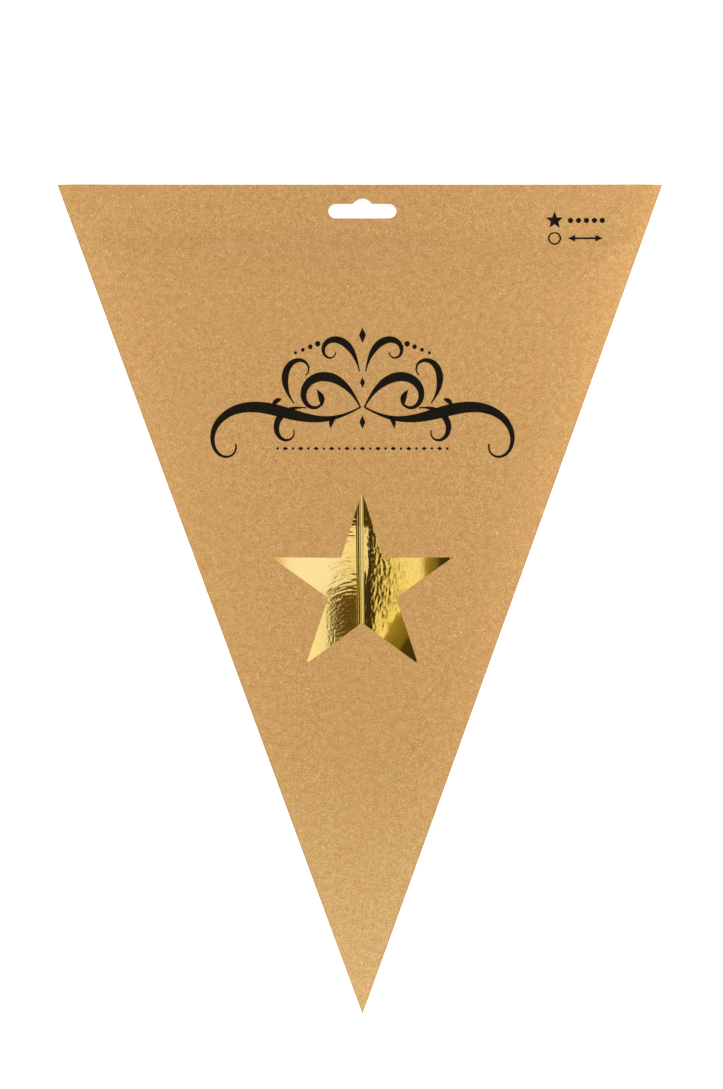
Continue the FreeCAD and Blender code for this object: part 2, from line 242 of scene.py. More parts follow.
def fill_steps(corners, step, closed=True):
    """Points along an outline or an open line, no further apart than step."""
    made = []
    ends = corners[1:] + corners[:1] if closed else corners[1:]
    for start, end in zip(corners, ends):
        parts = max(1, math.ceil(math.dist(start, end) / step))
        made += [tuple(Vector(start).lerp(Vector(end), part / parts)) for part in range(parts)]
    return made if closed else made + [corners[-1]]


def inside(points, corners):
    """Which points lie inside a closed outline."""
    found = np.zeros(len(points), bool)
    for (x0, y0), (x1, y1) in zip(corners, corners[1:] + corners[:1]):
        crosses = (y0 > points[:, 1]) != (y1 > points[:, 1])
        with np.errstate(divide="ignore", invalid="ignore"):
            at = x0 + (points[:, 1] - y0) / (y1 - y0) * (x1 - x0)
        found ^= crosses & (points[:, 0] < at)
    return found


def loft_loops(loops, looks):
    """Points and faces of a closed tube through loops of equally many points."""
    loops = np.asarray(loops, float)
    count = loops.shape[1]
    faces, face_looks = [], []
    for row in range(len(loops) - 1):
        first = row * count
        for k in range(count):
            after = (k + 1) % count
            faces.append((first + k, first + after, first + count + after, first + count + k))
            face_looks.append(looks[k])
    faces.append(tuple(range(count - 1, -1, -1)))
    faces.append(tuple(range((len(loops) - 1) * count, len(loops) * count)))
    return loops.reshape(-1, 3), faces, face_looks + [1, 1]


class Solids:
    """Collects closed meshes into one."""

    def __init__(self):
        self.points, self.faces, self.looks = [], [], []

    def add(self, points, faces, looks=(), flipped=False):
        first = len(self.points)
        self.points += points.tolist()
        self.looks += looks
        for face in faces:
            self.faces.append([first + k for k in (face[::-1] if flipped else face)])


# ---------------- sleeve

GRID = 4.0
ROW_PITCH = 0.87 * GRID
OUTLINE_STEP = 1.5
ON_LINE = 1e-3          # how far a point on a line may lie from it
SLIVER = 1e-3           # twice the area of a triangle that only rounding makes, on a straight side
FLAP_ROUND = 0.8        # width over which the flap rises from the side fold
INSETS = (0.13, CARD, 1.0, 2.0, 3.5, 5.5, 8.0, 11.0, 14.5)


def inset_triangle(inset):
    """The sleeve's outline moved inwards at both slanted sides: its point, right and left."""
    left, right = (CENTRE_X + side * (HEIGHT * SIDE_TAN[side] - inset / SIDE_COS[side])
                   for side in (-1, 1))
    low = inset * POINT_RISE
    shift = low * SIDE_TAN[1] - inset / SIDE_COS[1]
    return [(CENTRE_X + shift, POINT_Y + low), (right, TOP_Y), (left, TOP_Y)]


def flap_corners():
    """The glue flap's outline, from its lower end on the side fold, counterclockwise."""
    spots = [(FLAP_LOW, 0), (FLAP_LOW + FLAP_SLANT, FLAP_WIDTH),
             (FLAP_HIGH - FLAP_SLANT, FLAP_WIDTH), (FLAP_HIGH, 0)]
    return [(CENTRE_X - rise * SIDE_TAN[-1] + inset / SIDE_COS[-1], POINT_Y + rise)
            for rise, inset in spots]


def ply_layout(holes):
    """Points and triangles of one ply in plan, with its rows along the folds and its holes."""
    lines = [(fill_steps(inset_triangle(0), GRID), True)]
    for inset in INSETS:
        tip, right, left = inset_triangle(inset)
        lines.append((fill_steps([right, tip, left], GRID, False), False))
    lines += [(hole, True) for hole in holes]
    lines.append((fill_steps(flap_corners(), GRID, False), False))
    points = []
    edges = []
    for line, closed in lines:
        first = len(points)
        points += line
        edges += [(first + k, first + k + 1) for k in range(len(line) - 1)]
        if closed:
            edges.append((first + len(line) - 1, first))
    columns = np.arange(SLEEVE_LOW[0], SLEEVE_HIGH[0], GRID)
    rows = np.arange(POINT_Y, TOP_Y, ROW_PITCH)
    for number, y in enumerate(rows):
        for x in columns + (number % 2) * GRID / 2:
            if edge_distance(x, y) > INSETS[-1] + GRID / 2 and y < TOP_Y - GRID / 2:
                points.append((x, y))
    plan = delaunay_2d_cdt([Vector(p) for p in points], edges, [], 0, 1e-4)
    spots = np.array([tuple(v) for v in plan[0]])
    triangles = np.array([tuple(f) for f in plan[2]])
    middles = spots[triangles].mean(axis=1)
    keep = inside(middles, inset_triangle(0))
    for hole in holes:
        keep &= ~inside(middles, hole)
    triangles = triangles[keep]
    a, b, c = (spots[triangles[:, k]] for k in range(3))
    turn = (b[:, 0] - a[:, 0]) * (c[:, 1] - a[:, 1]) - (b[:, 1] - a[:, 1]) * (c[:, 0] - a[:, 0])
    triangles[turn < 0] = triangles[turn < 0][:, ::-1]
    return spots, triangles[np.abs(turn) > SLIVER]


def boundary_edges(triangles):
    """Directed edges that belong to one triangle only."""
    edges = [(t[k - 1], t[k]) for t in triangles.tolist() for k in range(3)]
    seen = set(edges)
    return [edge for edge in edges if edge[::-1] not in seen]


class Shell:
    """Collects the sleeve's points and faces; a point at the same place is used again."""

    def __init__(self):
        self.points, self.faces, self.looks, self.known = [], [], [], {}

    def point(self, x, y, z):
        key = (round(x, 4), round(y, 4), round(z, 4))
        if key not in self.known:
            self.known[key] = len(self.points)
            self.points.append((x, y, z))
        return self.known[key]

    def face(self, corners, look):
        corners = [c for k, c in enumerate(corners) if c != corners[k - 1]]
        if len(set(corners)) == len(corners) >= 3:
            self.faces.append(corners)
            self.looks.append(look)


def add_ply(shell, front, holes, flap=None):
    """One ply of the sleeve: its outer and inner surface and the cut edges between them."""
    spots, triangles = ply_layout(holes)
    sign = 1 if front else -1
    inset = edge_distance(*spots.T)
    rise = outer_rise(*spots.T)
    inner_rise = np.where(inset <= CARD + ON_LINE, 0, np.maximum(rise - CARD, SLIT))
    rise = np.where(inset < ON_LINE, 0, rise)
    has_inner = inset >= CARD - ON_LINE
    outer = [shell.point(*spot, MID_Z + sign * z) for spot, z in zip(spots, rise)]
    inner = [shell.point(*spot, MID_Z + sign * z) if has else None
             for spot, z, has in zip(spots, inner_rise, has_inner)]
    on_flap = np.zeros(len(triangles), bool)
    if flap:
        on_flap = inside(spots[triangles].mean(axis=1), flap)
    raised = {}
    for k in sorted(set(triangles[on_flap].ravel().tolist())):
        x, y = spots[k]
        thick = CARD * ease(max(side_distance(-1, x, y), 0) / FLAP_ROUND)
        raised[k] = shell.point(x, y, MID_Z + sign * min(rise[k] + thick, PACK_HALF))

    def face(corners, look, up=front):
        shell.face(corners if up else corners[::-1], look)

    for triangle, flapped in zip(triangles.tolist(), on_flap):
        skin = raised if flapped else outer
        face([skin[k] for k in triangle], 0)
        if all(has_inner[k] for k in triangle):
            face([inner[k] for k in triangle], 0, not front)
    for a, b in boundary_edges(triangles):
        on_side = max(inset[a], inset[b]) < ON_LINE
        if on_side and min(spots[a, 1], spots[b, 1]) <= TOP_Y - ON_LINE:
            continue
        if has_inner[a] and has_inner[b]:
            face([outer[a], inner[a], inner[b], outer[b]], 1)
        else:
            corner = inset_triangle(CARD)[2 if spots[a, 0] < CENTRE_X else 1]
            face([outer[a], shell.point(*corner, MID_Z), outer[b]], 1)
    for a, b in boundary_edges(triangles[on_flap]):
        face([raised[a], outer[a], outer[b], raised[b]], 1)


FOLD_SHADE_WIDTH = 0.6       # width of the painted shade beside the side folds


def build_sleeve(card, cut_edge):
    """The whole sleeve as one closed mesh."""
    shell = Shell()
    window = star_corners(WINDOW_CENTRE, WINDOW_RADIUS, WINDOW_RATIO)
    window = round_corners(window, WINDOW_TIP_ROUND)
    slot = fill_steps(slot_corners(), OUTLINE_STEP)
    add_ply(shell, True, [slot, fill_steps(window, OUTLINE_STEP)])
    add_ply(shell, False, [slot], flap_corners())
    made = make_object("sleeve_card", shell.points, shell.faces, [card, cut_edge], shell.looks)
    near = edge_distance(*np.array(shell.points)[:, :2].T)
    # painted shade beside the side folds, which the card's material reads
    add_values(made, "fold_shade", np.clip(1 - near / FOLD_SHADE_WIDTH, 0, 1))
    made.data.set_sharp_from_angle(angle=CARD_SHARP)
    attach(made, "root")
    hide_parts("kraft_sleeve")


# ---------------- foil sheets in the window
# Only the two sheets of the star's front point show. Each is rebuilt with the same folds, and
# its upper facet has the foil's own shallow swells and wrinkles, which shape its reflections.

DENSE_ROWS = (138.0, 232.0, 0.42)    # start, end and step along the seam behind the window
ROWS_BELOW = (60, 90, 115, 130)      # stations elsewhere along the seam
ROWS_ABOVE = (236, 247, 270, 290, 310)
DENSE_REACH = 46.0                   # how far out the fine columns go
COLUMNS = 100
SEAM_COLUMNS = (4.2, 28)             # width beside the seam with closer columns, and their number
SHEET_RAISE = 0.45                   # how far the facets spring up into the window
SWELL_ROOM = (62.0, 53.0)            # half the width and length over which they do


def star_to_pack(x, y):
    """From the star's own frame, with its tip at the origin and its seam along +Y."""
    cos, sin = math.cos(STAR_LEAN), math.sin(STAR_LEAN)
    return STAR_TIP[0] + cos * x - sin * y, STAR_TIP[1] + sin * x + cos * y


def smooth_step(low, high, value):
    share = np.clip((value - low) / (high - low), 0, 1)
    return share * share * (3 - 2 * share)


def station(y, values):
    """Value at y on straight lines between the sheet's stations."""
    return np.interp(y, [TIP_START, SEAM_START, SEAM_END, SEAM_LENGTH, CUT_Y], values)


def ridge_at(y):
    return y * FACET_TAN


def seam_lift(x, y):
    """How far the seam lifts a facet at a distance x from it."""
    press = station(y, [TIP_PRESS, PRESS_START, PRESS_END, PRESS_END, CUT_SEAM_X + TAB_END])
    lift = station(y, [0, LIFT, LIFT, 0, 0])
    share = (np.abs(x) - press) / np.maximum(ridge_at(y) - press, 0.1)
    return lift * (1 - np.clip(share, 0, 1))


def gradient_noise(x, y, seed):
    """Smooth random heights with cells of size 1 and steepness of about 1."""
    rng = np.random.default_rng(seed)
    order = rng.permutation(256)
    angles = rng.uniform(0, 2 * math.pi, 256)
    column, row = np.floor(x).astype(int), np.floor(y).astype(int)
    u, v = x - column, y - row
    fade_u, fade_v = (t ** 3 * (t * (6 * t - 15) + 10) for t in (u, v))

    def corner(across, up):
        angle = angles[order[(order[(column + across) % 256] + row + up) % 256]]
        return np.cos(angle) * (u - across) + np.sin(angle) * (v - up)

    low = corner(0, 0) * (1 - fade_u) + corner(1, 0) * fade_u
    high = corner(0, 1) * (1 - fade_u) + corner(1, 1) * fade_u
    return low * (1 - fade_v) + high * fade_v


def wrinkles(x, y, seed, sizes, slope):
    """Heights of crossed wrinkles; sizes are their lengths along x and y in millimetres."""
    total = 0
    for octave, share in enumerate((1.0, 0.5)):
        wide, high = (size * 0.6 ** octave for size in sizes)
        depth = slope * share * min(wide, high)
        total = total + depth * gradient_noise(x / wide + 7.3 * octave, y / high, seed + octave)
    return total


# The foil's reflection over the window. A level mirror at a distance d from the point under the
# camera shows what lies d / CAMERA_FAR off the upright; a slope adds twice itself.
CAMERA_FAR = 1415.0
EYE = (0.75, 25.7)
FOLD_X = 1.6             # right side of the seam's strip
# aims: places in millimetres, and how far off the upright the foil should look there
LEFT_AIM = [(-62, -0.074), (-35.5, -0.0555), (-16, -0.042), (-1, -0.018)]
STRIP_AIM = [(-2, -0.003), (9, -0.004), (12, -0.0115), (15, -0.018), (29, -0.018), (33, -0.013)]
ARM_AIM = [(4.3, 0), (5.4, 0.004), (6.6, 0.0105), (9.5, 0.0122), (13, 0.017), (20, 0.027),
           (29.4, 0.035), (37.2, 0.052), (62, 0.085)]
LEG_AIM = [(3, -0.002), (8, 0.014), (18, 0.033), (19.5, 0.039), (27.5, 0.048), (29.5, 0.053),
           (60, 0.060)]
ALONG_AIM = [(-30, -0.036), (-15, -0.036), (-8, -0.037), (2, -0.035), (7.8, -0.0215),
             (20.5, -0.003), (33.5, 0.017), (36.5, 0.035), (50, 0.045), (66, 0.045)]


def follow(value, stops):
    """Value on straight lines between (place, value) stops."""
    return np.interp(value, *zip(*stops))


def leg_line(x, y):
    """Distance across the window's lower right leg, which leans."""
    return 0.82 * x - 0.57 * y


def aim_across(x, y):
    """How far off the upright the foil at a place should look, across the seam."""
    left = follow(x, LEFT_AIM)
    strip = follow(y, STRIP_AIM)
    wander = (3.2 - 2.3 * smooth_step(12, 22, x)) * gradient_noise(x / 5, y / 7, 9)
    arm = follow(x + wander, ARM_AIM)
    leg = follow(leg_line(x, y) + wander, LEG_AIM)
    lower = smooth_step(4, -9, y) * smooth_step(5.5, 8.5, x)
    right = arm * (1 - lower) + leg * lower
    edge = smooth_step(3.4, 4.8, x + 0.9 * gradient_noise(x / 4, y / 1.9, 5))
    right = strip * (1 - edge) + right * edge
    return np.where(x < FOLD_X, left, right)


GRID_STEP = 0.25
FIELD_X = np.arange(-64, 66, GRID_STEP)
FIELD_Y = np.arange(-52, 66, GRID_STEP)
LEVEL_Y = 20.0


def facet_field():
    """Heights whose slopes give the wanted aims, on a fine plan grid."""
    x, y = np.meshgrid(FIELD_X, FIELD_Y)
    slope = ((x - EYE[0]) / CAMERA_FAR - aim_across(x, y)) / 2
    height = np.cumsum(slope, axis=1) * GRID_STEP
    seam = np.searchsorted(FIELD_X, FOLD_X)
    height -= height[:, seam:seam + 1]
    slope = ((FIELD_Y - EYE[1]) / CAMERA_FAR - follow(FIELD_Y, ALONG_AIM)) / 2
    along = np.cumsum(slope) * GRID_STEP
    return height + (along - along[np.searchsorted(FIELD_Y, LEVEL_Y)])[:, None]


FACET_FIELD = facet_field()


def sample_field(field, x, y):
    """Value of a plan grid between its points."""
    column = np.clip((x - FIELD_X[0]) / GRID_STEP, 0, len(FIELD_X) - 1.001)
    row = np.clip((y - FIELD_Y[0]) / GRID_STEP, 0, len(FIELD_Y) - 1.001)
    i, j = column.astype(int), row.astype(int)
    u, v = column - i, row - j
    low = field[j, i] * (1 - u) + field[j, i + 1] * u
    high = field[j + 1, i] * (1 - u) + field[j + 1, i + 1] * u
    return low * (1 - v) + high * v


def crinkle_shares(x, y):
    """Where the foil has long wrinkles, upright streaks and fine crinkles, each from 0 to 1."""
    left = np.maximum(FOLD_X - x, 0)
    right = np.maximum(x - FOLD_X, 0)
    bend = y + 0.035 * np.maximum(left - 5, 0) ** 2 * np.clip((22 - y) / 12, 0, 1)
    long = (1 - smooth_step(13, 18, left)) * smooth_step(-2, 4, bend) * (x < FOLD_X)
    long = long * (1 + 0.5 * smooth_step(22, 27, bend))
    smooth_end = np.maximum(smooth_step(12, 31, x), smooth_step(15, 18.5, leg_line(x, y)) * (y < 4))
    upright = (0.3 + 0.7 * smooth_step(3.2, 4.8, right)) * (x > FOLD_X) * (1 - smooth_end)
    fine = (1 - smooth_step(14, 19.5, left)) * (x < FOLD_X)
    fine = np.maximum(fine * (0.25 + 0.75 * smooth_step(9, 2, bend)), upright)
    return bend, long, upright, fine


# the foil's wrinkles: seed, lengths along x and y, and slope
LONG_WRINKLES = (11, (6.5, 0.9), 0.010)
UPRIGHT_WRINKLES = (51, (1.15, 3.2), 0.0085)
TOP_WRINKLES = (91, (6.0, 4.0), 0.004)
FINE_WRINKLES = (71, (0.9, 0.9), 0.0062)


def foil_height(x, y):
    """Swells and wrinkles of the foil in the window, over its level seam, in pack millimetres."""
    height = sample_field(FACET_FIELD, x, y)
    bend, long, upright, fine = crinkle_shares(x, y)
    lean = x + 0.12 * np.maximum(12 - y, 0)
    height = height + long * wrinkles(x, bend, *LONG_WRINKLES)
    height = height + upright * wrinkles(lean, y, *UPRIGHT_WRINKLES)
    height = height + smooth_step(30, 37, y) * wrinkles(x, y, *TOP_WRINKLES)
    return height + fine * wrinkles(x, y, *FINE_WRINKLES)


CONTACT = (-3.15, -2.62, 0.07)       # dip of the left facet beside the flange: from, to, slope


def swell(x, y, creased=True):
    """The foil's rise in the window in the star's own frame, fading out under the card."""
    px, py = star_to_pack(x, y)
    near = np.clip(1 - ((px - WINDOW_CENTRE[0]) / SWELL_ROOM[0]) ** 2, 0, 1)
    near = near * np.clip(1 - ((py - WINDOW_CENTRE[1]) / SWELL_ROOM[1]) ** 2, 0, 1)
    fade = smooth_step(0, 0.3, near)
    ridge_fade = smooth_step(0, 6, ridge_at(y) - np.abs(x))
    level = LIFT - seam_lift(x, y)
    if creased:
        height = foil_height(px, py) - CONTACT[2] * (np.clip(x, *CONTACT[:2]) - CONTACT[0]) * (x < 0)
    else:
        height = sample_field(FACET_FIELD, np.full_like(px, FOLD_X), py)
    return (SHEET_RAISE + level + height) * fade * ridge_fade


def dense_rows(start, end):
    """Stations along the seam, close together behind the window."""
    low, high, step = DENSE_ROWS
    rows = {start, SEAM_START, *ROWS_BELOW, *np.arange(low, high, step), *ROWS_ABOVE,
            SEAM_END, SEAM_LENGTH, CUT_Y}
    return np.array(sorted(v for v in rows if start <= v <= end))


def facet_loop(side, y, columns):
    """Section of the two facets and their ridge fold at one station."""
    open_x = side * station(y, [0, 0, 0, 0, CUT_SEAM_X])
    ends = {layer: -layer * SEAM_OFFSET if y <= SEAM_LENGTH else open_x for layer in (1, -1)}
    inner_ridge = side * (ridge_at(y) - FOIL)
    loop = []

    def facet(layer, height, outward):
        start = ends[layer]
        steps = columns if layer > 0 else columns // 6
        reach = min(DENSE_REACH, 0.8 * abs(inner_ridge - start))
        seam = min(SEAM_COLUMNS[0], 0.3 * reach)
        close = np.linspace(0, seam, SEAM_COLUMNS[1] if layer > 0 else 4)[:-1]
        near = start + side * np.concatenate([close, np.linspace(seam, reach, steps)])
        far = np.linspace(near[-1], inner_ridge, 10)[1:]
        xs = np.concatenate([near, far])
        if not outward:
            xs = xs[::-1]
        z = layer * height + seam_lift(xs, y)
        if layer > 0:
            z = z + swell(xs, np.full_like(xs, y))
        loop.extend(np.column_stack([xs, np.full_like(xs, y), z]))

    facet(1, HALF_SHEET, True)
    for step in range(1, 6):
        angle = math.pi / 2 - math.pi * step / 6
        reach = inner_ridge + side * FOIL * math.cos(angle)
        loop.append((reach, y, HALF_SHEET * math.sin(angle)))
    facet(-1, HALF_SHEET, False)
    looks = [0] * (len(loop) - 1) + [1]
    facet(-1, FOLD_GAP / 2, True)
    facet(1, FOLD_GAP / 2, False)
    return loop, looks + [0] * (len(loop) - len(looks) - 1) + [1]


FLANGE_TILTS = [(-1.72, 0), (-1.66, -0.0375), (-0.86, -0.0375), (-0.74, -0.024)]
OUTER_FOLD = (0.16, 0.06)        # radius of the flange's fold, and its room over the layer below
INNER_FOLD = (0.11, 0.01)
FOLD_STEPS = 6
FLANGE_STEPS = 12
FLANGE_X = -1.4          # where in its width the flange takes the facets' rise
EDGE_BEVEL = 0.26        # how far the die's slanting cut shows the core of the inner flange


def flange_loop(turn, outer, y):
    """Section of one seam flange: its fold and its free part, turned for the lower seam."""
    width, layers, shift, turned = ((OUTER_FLANGE, 2, FOIL / 2, math.pi / 2) if outer else
                                    (INNER_FLANGE, 1, 0, math.pi))
    radius, spare = OUTER_FOLD if outer else INNER_FOLD
    right = shift - SEAM_OFFSET
    top = HALF_SHEET + (layers - 0.5) * FOIL + spare
    middle = [(right, HALF_SHEET - FOIL / 2)] if outer else []
    middle += arc((right - radius, top - radius), radius, math.pi / 2 - turned, turned, FOLD_STEPS)
    step = (middle[-1][0] + SEAM_OFFSET + width) / FLANGE_STEPS
    for _ in range(FLANGE_STEPS):
        x, z = middle[-1]
        tilt = follow(x, FLANGE_TILTS) if outer else 0.0
        middle.append((x - step, z + tilt * step))
    middle = np.array(middle)
    along = np.gradient(middle, axis=0)
    along /= np.linalg.norm(along, axis=1)[:, None]
    normal = np.column_stack([along[:, 1], -along[:, 0]])
    upper, lower = middle + normal * FOIL / 2, middle - normal * FOIL / 2
    if not outer:
        upper[-1, 0] += EDGE_BEVEL
    outline = np.concatenate([upper, lower[::-1]])
    z = outline[:, 1] * turn + LIFT
    if turn > 0:
        z = z + swell(np.full_like(z, FLANGE_X), np.full_like(z, y), False)
    loop = np.column_stack([outline[:, 0] * turn, np.full(len(z), y), z])
    return loop, ([0] * (len(middle) - 1) + [1]) * 2


def build_sheet(name, node, side, foil, core):
    """One folded foil sheet: its two facets with their ridge, and its two seam flanges."""
    sheet = Solids()

    def add(sections, flipped):
        points, faces, looks = loft_loops([s[0] for s in sections], sections[0][1])
        px, py = star_to_pack(points[:, 0], points[:, 1])
        sheet.add(np.column_stack([px, py, points[:, 2] + SHEET_Z]), faces, looks, flipped)

    add([facet_loop(side, y, COLUMNS) for y in dense_rows(TIP_START, CUT_Y)], side < 0)
    rows = np.append(dense_rows(SEAM_START, SEAM_END)[::3], SEAM_END)
    for turn, outer in ((1, side > 0), (-1, side < 0)):
        add([flange_loop(turn, outer, y) for y in rows], turn < 0)
    made = make_object(name, sheet.points, sheet.faces, [foil, core], sheet.looks)
    add_values(made, "crinkle", crinkle_shares(*np.array(sheet.points)[:, :2].T)[3])
    made.data.set_sharp_from_angle(angle=FOIL_SHARP)
    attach(made, "root")
    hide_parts(node)


# ---------------- printed ornament
# Black ink on the front panel: a mirrored scroll ornament, a fine beaded rule below it, and
# small pictograms in the right corner. The ink is a thin closed layer that follows the card.

INK = 0.03


def inked(spots, depth):
    """Points at a small height over the card's surface."""
    spots = np.asarray(spots, float)
    return np.column_stack([spots, MID_Z + outer_rise(*spots.T) + depth])


class Print(Solids):
    """Collects closed islands of ink that follow the card's surface."""

    def blot(self, outline):
        """A filled shape, seen whole from its middle; its outline is counterclockwise."""
        count = len(outline)
        spots = [*outline, np.mean(outline, axis=0)]
        low = count + 1
        faces = []
        for k in range(count):
            after = (k + 1) % count
            faces += [(k, after, count), (low + after, low + k, low + count),
                      (low + k, low + after, after, k)]
        self.add(np.concatenate([inked(spots, INK), inked(spots, -INK)]), faces)

    def stroke(self, middle, widths):
        """A pen stroke along a line, with its width at each point."""
        middle = np.asarray(middle, float)
        along = np.gradient(middle, axis=0)
        along /= np.linalg.norm(along, axis=1)[:, None]
        across = np.column_stack([-along[:, 1], along[:, 0]]) * np.asarray(widths)[:, None] / 2
        corners = [inked(middle + way * across, depth)
                   for way, depth in ((-1, INK), (-1, -INK), (1, -INK), (1, INK))]
        points, faces, _ = loft_loops(np.stack(corners, axis=1), [0] * 4)
        self.add(points, faces)


def scroll(start, heading, bends, length, steps):
    """A line that turns by bends, in degrees per millimetre, at equal spaces along it."""
    step = length / steps
    turns = np.interp((np.arange(steps) + 0.5) / steps, np.linspace(0, 1, len(bends)), bends)
    angles = np.radians(heading + np.cumsum(turns) * step)
    moves = step * np.column_stack([np.cos(angles), np.sin(angles)])
    return np.cumsum(np.concatenate([[start], moves]), axis=0)


def pen(line, thin, thick, peak):
    """Widths of a stroke that swells from thin to thick and back, with fine ends."""
    share = np.linspace(0, 1, len(line))
    share = np.minimum(share / peak, (1 - share) / (1 - peak))
    return thin + (thick - thin) * smooth_step(0, 1, share)


def disc(centre, radius, steps=20):
    return arc(centre, radius, 0, 2 * math.pi, steps)[:-1]


LEAF_BOW = 0.12          # how far a leaf bends, as a share of its length
LEAF_FULL = 0.8          # under 1 puts its widest place nearer the base


def leaf(base, heading, length, width, steps=9):
    """A pointed leaf from its base, slightly curved."""
    angle = math.radians(heading)
    along = np.array([math.cos(angle), math.sin(angle)])
    across = np.array([-along[1], along[0]])
    share = np.linspace(0, 1, steps + 1)[:, None]
    bow = LEAF_BOW * np.sin(math.pi * share) * across
    half = width / 2 * np.sin(math.pi * share ** LEAF_FULL) * across
    middle = np.array(base) + length * (share * along + bow)
    return [tuple(p) for p in np.concatenate([middle - half, (middle + half)[-2:0:-1]])]


def mirrored(outline):
    """The same shape on the other side of the centre line, still counterclockwise."""
    return [(2 * CENTRE_X - x, y) for x, y in outline][::-1]


ORNAMENT_SCALE = (0.825, 0.882)      # fits the drawing below into its place on the panel
ORNAMENT_TOP = (126.1, 127.0)        # the drawing's upper end, and where it goes


def fitted(outline):
    return [(CENTRE_X + (x - CENTRE_X) * ORNAMENT_SCALE[0],
             ORNAMENT_TOP[1] + (y - ORNAMENT_TOP[0]) * ORNAMENT_SCALE[1]) for x, y in outline]


# large scrolls from the middle outwards, with curled ends: start, heading, bends, length and
# steps; then the pen's thin and thick widths and where it is thickest
SCROLLS = [
    (((2.2, 84.0), -28, (0.6, 1.6, 0.4, -1.2, -2.6, -5.2, -13), 118, 140), (0.8, 5.4, 0.42)),
    (((2.4, 84.0), 62, (-0.8, -2.4, -4.6, -8.5, -16), 66, 110), (0.8, 4.4, 0.38)),
    (((33.0, 83.5), 8, (-2.2, -4.4, -8.5, -17), 40, 80), (0.6, 3.0, 0.4)),
    (((40.0, 86.0), 52, (1.6, 3.6, 8.0, 16), 40, 80), (0.6, 3.2, 0.4)),
    (((3.0, 103.0), 78, (-1.0, -2.6, -6.0, -12, -20), 44, 90), (0.6, 3.4, 0.4)),
]
LEAVES = [((24.0, 84.5), 70, 9.5, 3.4), ((16.5, 79.5), -68, 7.5, 2.8), ((47.0, 88.5), -40, 7.5, 2.6)]
RULE_Y = 70.5
RULE_PITCH = 3.6
SIGN_Y = (177.2, 168.8)          # the two rows of pictograms
SIGN_X = 91.0


def build_print(ink):
    art = Print()

    def both_blots(outline):
        outline = fitted(outline)
        art.blot(outline)
        art.blot(mirrored(outline))

    for path, strokes in SCROLLS:
        line = fitted(scroll(*path))
        widths = pen(line, *strokes)
        art.stroke(line, widths)
        art.stroke(mirrored(line), widths[::-1])
    for place in LEAVES:
        both_blots(leaf(*place))
    for number in range(4):
        both_blots(disc((26.5 + 4.2 * number, 117.5 - 1.6 * number), 1.5 - 0.22 * number))
    # middle lozenges
    for rise, half in ((122.0, 2.8), (97.0, 2.0), (76.0, 2.4)):
        art.blot(fitted([(CENTRE_X + half * 0.7, rise), (CENTRE_X, rise + half * 1.5),
                         (CENTRE_X - half * 0.7, rise), (CENTRE_X, rise - half * 1.5)]))
    # beaded rule
    for number in range(-11, 12):
        x = CENTRE_X + number * RULE_PITCH
        if number % 2:
            art.blot(disc((x, RULE_Y), 0.6, 12))
        else:
            art.blot([(x + 1.3, RULE_Y), (x, RULE_Y + 0.9), (x - 1.3, RULE_Y), (x, RULE_Y - 0.9)])
    # pictograms: star with five pips, ring with a dimension line
    high, low = SIGN_Y
    art.blot(star_corners((SIGN_X, high), 4.3, 0.42))
    for number in range(5):
        art.blot(disc((98.5 + 3.7 * number, high), 1.25, 14))
    art.stroke(arc((SIGN_X, low), 2.7, 0, 2 * math.pi, 40), [0.75] * 41)
    art.stroke([(98.0, low), (105.0, low), (112.6, low)], [0.9] * 3)
    for x, way in ((97.2, 1), (113.4, -1)):
        head = [(x, low), (x + way * 3.4, low - 1.6), (x + way * 3.4, low + 1.6)]
        art.blot(head if way > 0 else head[::-1])
    made = make_object("printed_ornament", art.points, art.faces, [ink])
    made.data.set_sharp_from_angle(angle=CARD_SHARP)
    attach(made, "root")


# ---------------- materials

